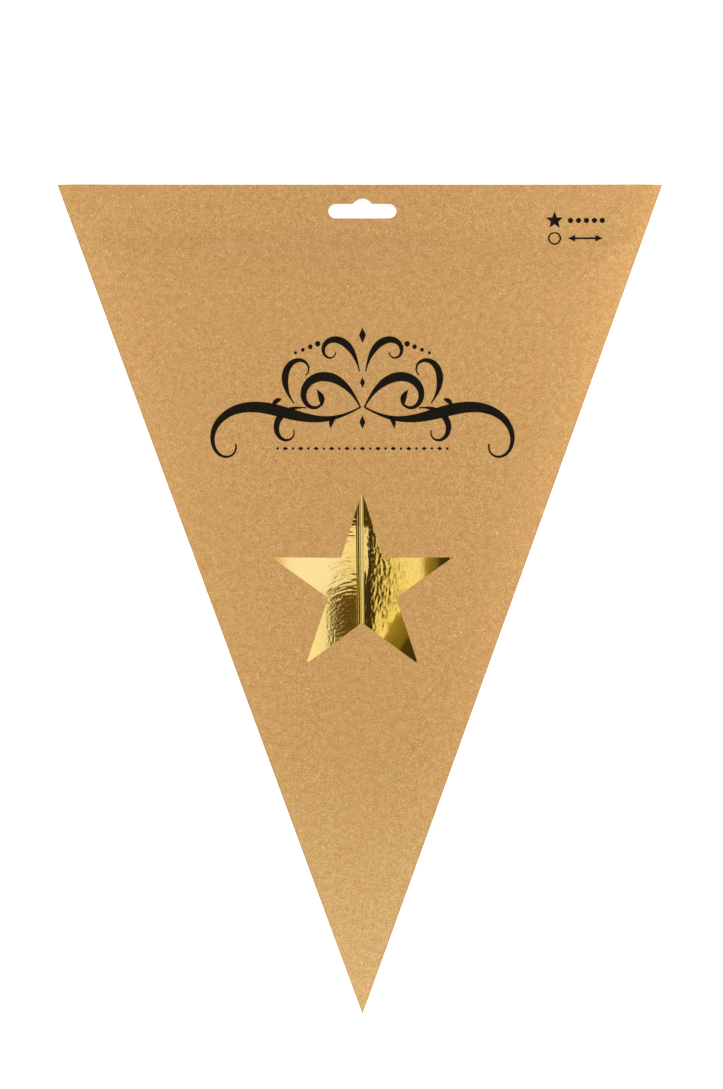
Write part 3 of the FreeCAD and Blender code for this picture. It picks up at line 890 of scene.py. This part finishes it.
class Graph:
    """Adds and links shader nodes."""

    def __init__(self, tree):
        self.tree = tree
        self.tree.nodes.clear()

    def put(self, node, inputs):
        """Link each input to a socket, or give it a constant."""
        for name, value in inputs.items():
            if isinstance(value, bpy.types.NodeSocket):
                self.tree.links.new(value, node.inputs[name])
            else:
                node.inputs[name].default_value = value

    def add(self, kind, inputs=None, **settings):
        node = self.tree.nodes.new("ShaderNode" + kind)
        for name, value in settings.items():
            setattr(node, name, value)
        self.put(node, inputs or {})
        return node

    def math(self, operation, first, second=0.0):
        return self.add("Math", {0: first, 1: second}, operation=operation).outputs[0]

    def product(self, first, *others):
        for other in others:
            first = self.math("MULTIPLY", first, other)
        return first

    def line(self, value, slope, base):
        """Value times slope, plus base."""
        return self.math("ADD", self.product(value, slope), base)

    def ramp(self, value, stops):
        node = self.add("ValToRGB", {0: value})
        elements = node.color_ramp.elements
        while len(elements) < len(stops):
            elements.new(0.5)
        for element, (place, colour) in zip(elements, stops):
            element.position = place
            element.color = (*colour, 1)
        return node.outputs[0]

    def range(self, value, low, high, smooth=False):
        """Value brought from low to high onto 0 to 1."""
        node = self.add("MapRange", {0: value, 1: low, 2: high, 3: 0.0, 4: 1.0})
        node.interpolation_type = "SMOOTHSTEP" if smooth else "LINEAR"
        return node.outputs[0]

    def fall(self, value, low, high, smooth=False):
        """Value brought from low to high onto 1 to 0."""
        return self.math("SUBTRACT", 1.0, self.range(value, low, high, smooth))

    def mix(self, share, first, second, blend="MIX"):
        node = self.add("Mix", {0: share}, data_type="RGBA", blend_type=blend)
        for place, colour in ((6, first), (7, second)):
            self.put(node, {place: (*colour, 1) if isinstance(colour, tuple) else colour})
        return node.outputs[2]

    def millimetres(self, turn=0.0, scale=(1, 1, 1)):
        """Object coordinates in millimetres, turned about Z and scaled."""
        place = self.add("TexCoord").outputs["Object"]
        turned = self.add("Mapping", {"Vector": place, "Rotation": (0, 0, math.radians(turn))})
        sized = self.add("Mapping", {"Vector": turned.outputs[0],
                                     "Scale": [part / MM for part in scale]})
        return sized.outputs[0]

    def noise(self, place, scale, detail=2.0, roughness=0.5):
        node = self.add("TexNoise", {"Vector": place, "Scale": scale, "Detail": detail,
                                     "Roughness": roughness})
        return node.outputs["Fac"]

    def bump(self, height, distance, strength, **more):
        inputs = {"Height": height, "Distance": distance * MM, "Strength": strength}
        return self.add("Bump", {**inputs, **more}).outputs[0]


def new_material(name):
    material = bpy.data.materials.new(name)
    material.use_nodes = True
    return material, Graph(material.node_tree)


def principled(name):
    """A material with only a Principled shader, and its graph."""
    material, graph = new_material(name)
    shader = graph.add("BsdfPrincipled")
    graph.add("OutputMaterial", {"Surface": shader.outputs[0]})
    return material, graph, shader


def kraft_card():
    """Brown card: fine grain, fibres that lean one way, soft mottling and rare pale specks, with
    painted light towards the sleeve's point and painted shade along the side folds.
    """
    material, graph, shader = principled("kraft_card")
    place = graph.millimetres()
    slanted = graph.millimetres(-45, (0.45, 1.0, 1))
    grain = graph.noise(place, 2.6, 1, 0.6)
    fibre = graph.noise(slanted, 1.7, 2, 0.6)
    mottle = graph.noise(place, 0.33, 2, 0.5)
    hue = graph.noise(slanted, 0.11, 2)
    tone = 0.5
    for layer, share in ((grain, GRAIN), (fibre, FIBRE), (mottle, MOTTLE)):
        tone = graph.math("ADD", tone, graph.product(graph.math("SUBTRACT", layer, 0.5), share))
    colour = graph.ramp(tone, [(0.0, KRAFT_DARK), (0.5, KRAFT), (1.0, KRAFT_LIGHT)])
    tint = graph.ramp(hue, [(0.35, (0.99, 1.005, 0.99)), (0.65, (1.015, 0.992, 1.0))])
    colour = graph.mix(1.0, colour, tint, "MULTIPLY")
    # painted light: the card made paler and less saturated towards the sleeve's point
    up = graph.add("SeparateXYZ", {0: place}).outputs[1]
    colour = graph.mix(1.0, colour, graph.ramp(graph.range(up, *PAINTED_LIGHT_SPAN), PAINTED_LIGHT_RAMP), "MULTIPLY")
    # painted shade: the card darkened along the side folds
    fold_shade = graph.add("Attribute", attribute_name="fold_shade").outputs["Fac"]
    colour = graph.mix(graph.product(fold_shade, 0.6), colour, KRAFT_FOLD_SHADE)
    speck = graph.range(graph.noise(place, 0.9, 0), 0.83, 0.86)
    colour = graph.mix(speck, colour, KRAFT_LIGHT)
    graph.put(shader, {"Base Color": colour, "Roughness": graph.line(grain, 0.15, 0.72),
                       "Normal": graph.bump(tone, 0.02, 0.5), "Specular IOR Level": 0.25})
    return material


def card_core(name, colour, pale):
    """The cut edge of a card: paler than its face, with layered fibres."""
    material, graph, shader = principled(name)
    layers = graph.noise(graph.millimetres(0, (0.8, 0.8, 12)), 1.0, 3, 0.6)
    colour = graph.ramp(layers, [(0.3, colour), (0.7, pale)])
    graph.put(shader, {"Base Color": colour, "Roughness": 0.9,
                       "Normal": graph.bump(layers, 0.03, 0.6), "Specular IOR Level": 0.2})
    return material


def gold_foil():
    """Bright metallised card: faint rolling marks and a fine pebble in the reflection."""
    material, graph, shader = principled("gold_foil")
    pebble = graph.noise(graph.millimetres(), 0.9, 2)
    streak = graph.noise(graph.millimetres(0, (1, 0.05, 1)), 1.2, 2)
    colour = graph.mix(graph.range(pebble, 0.3, 0.7), GOLD_DEEP, GOLD)
    normal = graph.bump(pebble, 0.0015, 0.5)
    crinkle = graph.add("Attribute", attribute_name="crinkle").outputs["Fac"]
    fine = graph.product(graph.noise(graph.millimetres(), 1.7, 2, 0.6), crinkle)
    graph.put(shader, {"Base Color": colour, "Metallic": 1.0,
                       "Roughness": graph.line(streak, 0.015, 0.018),
                       "Normal": graph.bump(fine, 0.003, 1.0, Normal=normal)})
    return material


def black_ink():
    """Flat black ink, a little thinner where the card's fibres stand up."""
    material, graph, shader = principled("black_ink")
    grain = graph.noise(graph.millimetres(-45, (0.42, 1.35, 1)), 1.6, 3, 0.6)
    colour = graph.ramp(grain, [(0.45, (0.005, 0.004, 0.002)), (0.75, (0.020, 0.013, 0.007))])
    graph.put(shader, {"Base Color": colour, "Roughness": graph.line(grain, 0.2, 0.45),
                       "Normal": graph.bump(grain, 0.02, 0.4), "Specular IOR Level": 0.1})
    return material


KRAFT = (0.610, 0.337, 0.117)
KRAFT_DARK = (0.33, 0.108, 0.008)
KRAFT_LIGHT = (0.925, 0.65, 0.31)
# colour of the painted shade along the side folds
KRAFT_FOLD_SHADE = (0.26, 0.17, 0.085)
PAINTED_LIGHT_SPAN = (-165.0, 0.0)       # painted light along the sleeve: card paler and less saturated near the point, fading out by the middle
PAINTED_LIGHT_RAMP = [(0.0, (0.985, 1.09, 1.22)), (0.3, (0.965, 1.03, 1.08)), (0.57, (0.955, 0.965, 0.965)),
         (1.0, (1.0, 1.0, 1.0))]
GRAIN = 1.05
FIBRE = 0.5
MOTTLE = 0.26
GOLD = (1.0, 0.75, 0.27)
GOLD_DEEP = (0.98, 0.70, 0.22)


# ---------------- stage

CAMERA_AT = (0.75, 25.71)
VIEW_HEIGHT = 509.32    # height that the camera sees at the sleeve's middle plane
LENS = 100.0
SENSOR = 36.0

# name: place of the light, the point it faces, its width and height, and its radiance
LIGHTS = {
    "right": ((320, 0, 120), (60, 0, 0), (600, 100), 5.6),
    "left": ((-320, -60, 150), (-60, -30, 0), (700, 100), 4.9),
    "bottom": ((0, -330, 160), (0, -100, 0), (500, 100), 3.3),
    "top": ((0, 330, 300), (0, 120, 0), (400, 100), 3.5),
}
AMBIENT = 0.25


def add_lights():
    for name, (place, target, size, radiance) in LIGHTS.items():
        data = bpy.data.lights.new(name, "AREA")
        data.shape = "RECTANGLE"
        data.size = size[0] * MM
        data.size_y = size[1] * MM
        data.energy = radiance * math.pi * data.size * data.size_y
        made = new_object(name, data)
        made.location = Vector(place) * MM
        facing = Vector(target) - Vector(place)
        made.rotation_euler = facing.to_track_quat("-Z", "Y").to_euler()
        made.visible_camera = False
        made.visible_glossy = False


def add_camera():
    data = bpy.data.cameras.new("camera")
    data.lens = LENS
    data.sensor_width = SENSOR
    data.clip_end = 20
    made = new_object("camera", data)
    distance = LENS * VIEW_HEIGHT / SENSOR
    made.location = (CAMERA_AT[0] * MM, CAMERA_AT[1] * MM, (MID_Z + distance) * MM)
    bpy.context.scene.camera = made


def seen_rays(graph):
    """1 for the rays that show the background: those of the camera, mirrors and glass."""
    path = graph.add("LightPath").outputs
    seen = graph.math("MAXIMUM", path["Is Camera Ray"], path["Is Glossy Ray"])
    return graph.math("MAXIMUM", seen, path["Is Transmission Ray"])


FLOOR_GLOW = 0.72
FLOOR_REACH = 4000
FLOOR_DROP = 0.02        # keeps the floor clear of the sleeve's back


def add_floor():
    """A pale floor, white to the camera, which keeps some of the pack's shadow."""
    spots = [(x * FLOOR_REACH, y * FLOOR_REACH, -FLOOR_DROP)
             for x, y in ((-1, -1), (1, -1), (1, 1), (-1, 1))]
    material, graph = new_material("floor")
    grain = graph.noise(graph.millimetres(), 0.3, 2)
    pale = graph.ramp(grain, [(0.3, (0.80, 0.80, 0.80)), (0.7, (0.82, 0.82, 0.82))])
    matt = graph.add("BsdfDiffuse", {"Color": pale})
    glow = graph.product(seen_rays(graph), FLOOR_GLOW)
    glow = graph.add("Emission", {"Color": (1, 1, 1, 1), "Strength": glow})
    both = graph.add("AddShader", {0: matt.outputs[0], 1: glow.outputs[0]})
    graph.add("OutputMaterial", {"Surface": both.outputs[0]})
    floor = make_object("floor", spots, [(0, 1, 2, 3)], [material])


# What the foil mirrors, by how far it lies off the upright to the right: soft light panels at
# both sides, with the dark gap for the camera between them.
STRIPS = [(-0.25, (0.8, 0.8, 0.8)), (-0.12, (0.5, 0.45, 0.30)), (-0.068, (0.46, 0.41, 0.27)),
          (-0.062, (0.66, 0.56, 0.2)), (-0.0575, (0.66, 0.56, 0.2)), (-0.0545, (1.0, 1.06, 1.4)),
          (-0.040, (0.98, 1.04, 1.4)), (-0.024, (0.94, 0.91, 0.84)), (-0.013, (0.90, 0.88, 0.80)),
          (-0.009, (0.040, 0.030, 0.013)), (0.010, (0.040, 0.030, 0.013)),
          (0.0135, (0.62, 0.56, 0.3)), (0.022, (0.76, 0.70, 0.41)), (0.029, (1.0, 0.98, 0.78)),
          (0.0345, (0.95, 0.93, 0.70)), (0.0375, (0.36, 0.29, 0.065)), (0.044, (0.23, 0.19, 0.042)),
          (0.049, (0.20, 0.165, 0.035)), (0.052, (0.05, 0.038, 0.01)), (0.13, (0.04, 0.03, 0.01)),
          (0.22, (0.8, 0.8, 0.8))]
STRIPS_REACH = 0.25
# Other zones, and the soft edges where each begins or ends, to the right or up the pack.
LOW_SLANT = 0.35                  # how the dark zone below the panels leans
LOW_TOP = (-0.0165, -0.0125)
LOW_SIDES = ((-0.043, -0.037), (-0.013, -0.009))
LOW_DARK = (0.105, 0.064, 0.010)
LOW_GLINT = (0.34, 0.27, 0.12)    # crinkles that catch light in the dark below
GLINT_TURNS = 260.0
GLINT_EDGES = (0.45, 1.0)
GLINT_SHARE = 0.8
HIGH_DARK = (0.075, 0.05, 0.011)  # dark zone above the left panel
HIGH_EDGES = ((0.020, 0.024), (-0.044, -0.040))
LOW_TINT = (1.0, 0.97, 0.75)      # panels' tint towards the pack's point
TINT_SPAN = (-0.012, -0.036)
BAR = (0.28, 0.20, 0.06)          # thin bar across the left panel
BAR_AT = -0.0115
BAR_HALF = 0.0009
BAR_SIDES = ((-0.040, -0.034), (-0.022, -0.0195))
FAR_EDGES = ((0.15, 0.3), (0.2, 0.3))       # where the panels end, along and across
# the studio's walls, by the sine of the height at which they are seen: soft bands of light
WALLS = [(0.0, (0.30, 0.29, 0.27)), (0.16, (0.46, 0.45, 0.42)), (0.25, (0.78, 0.77, 0.74)),
         (0.33, (0.80, 0.79, 0.76)), (0.44, (0.44, 0.43, 0.40)), (0.58, (0.74, 0.73, 0.70)),
         (0.75, (0.55, 0.54, 0.51)), (0.9, (0.82, 0.82, 0.80)), (1.0, (0.82, 0.82, 0.82))]


def add_world():
    """A plain studio for the light, and panels with dark gaps for what mirrors it."""
    world = bpy.data.worlds.new("studio")
    bpy.context.scene.world = world
    world.use_nodes = True
    graph = Graph(world.node_tree)
    way = graph.add("SeparateXYZ", {0: graph.add("TexCoord").outputs["Generated"]})
    height = graph.math("MAXIMUM", way.outputs[2], 0.001)
    across = graph.math("DIVIDE", way.outputs[0], height)
    along = graph.math("DIVIDE", way.outputs[1], height)
    strips = graph.ramp(graph.range(across, -STRIPS_REACH, STRIPS_REACH),
                        [(0.5 + place / STRIPS_REACH / 2, colour) for place, colour in STRIPS])
    # below the panels: dark, between the left panel's near part and the gap
    slanted = graph.math("SUBTRACT", along, graph.product(across, LOW_SLANT))
    low = graph.product(graph.fall(slanted, *LOW_TOP, True),
                        graph.range(across, *LOW_SIDES[0], True), graph.fall(across, *LOW_SIDES[1]))
    tint = graph.mix(graph.range(along, *TINT_SPAN), (1, 1, 1), LOW_TINT)
    strips = graph.mix(1.0, strips, tint, "MULTIPLY")
    bar = graph.math("ABSOLUTE", graph.math("SUBTRACT", along, BAR_AT))
    bar = graph.product(graph.fall(bar, BAR_HALF, 2 * BAR_HALF, True),
                        graph.range(across, *BAR_SIDES[0], True), graph.fall(across, *BAR_SIDES[1]))
    strips = graph.mix(bar, strips, BAR)
    glint = graph.range(graph.math("SINE", graph.product(slanted, GLINT_TURNS)), *GLINT_EDGES)
    glint = graph.product(glint, GLINT_SHARE)
    colour = graph.mix(low, strips, graph.mix(glint, LOW_DARK, LOW_GLINT))
    high = graph.product(graph.range(along, *HIGH_EDGES[0], True),
                         graph.range(across, *HIGH_EDGES[1], True))
    colour = graph.mix(high, colour, HIGH_DARK)
    far = [graph.range(graph.math("ABSOLUTE", value), *edges, True)
           for value, edges in zip((along, across), FAR_EDGES)]
    far = graph.math("MAXIMUM", *far)
    mirror = graph.mix(far, colour, graph.ramp(way.outputs[2], WALLS))
    camera_ray = graph.add("LightPath").outputs["Is Camera Ray"]
    colour = graph.mix(camera_ray, mirror, (1.0, 1.0, 1.0))
    colour = graph.mix(seen_rays(graph), (AMBIENT,) * 3, colour)
    background = graph.add("Background", {"Color": colour})
    graph.add("OutputWorld", {"Surface": background.outputs[0]})


kraft = kraft_card()
kraft_edge = card_core("kraft_core", (0.55, 0.34, 0.14), (0.78, 0.55, 0.30))
foil_edge = card_core("foil_core", (0.82, 0.57, 0.10), (0.97, 0.73, 0.18))
gold = gold_foil()
build_sleeve(kraft, kraft_edge)
build_sheet("foil_front_left", "star_point_5_front", -1, gold, foil_edge)
build_sheet("foil_front_right", "star_point_5_back", 1, gold, foil_edge)
build_print(black_ink())
for node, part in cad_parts.items():
    if node.startswith("star_point"):
        part.data.materials.clear()
        part.data.materials.append(gold)
add_camera()
add_lights()
add_floor()
add_world()
bpy.context.scene.view_settings.view_transform = "Standard"
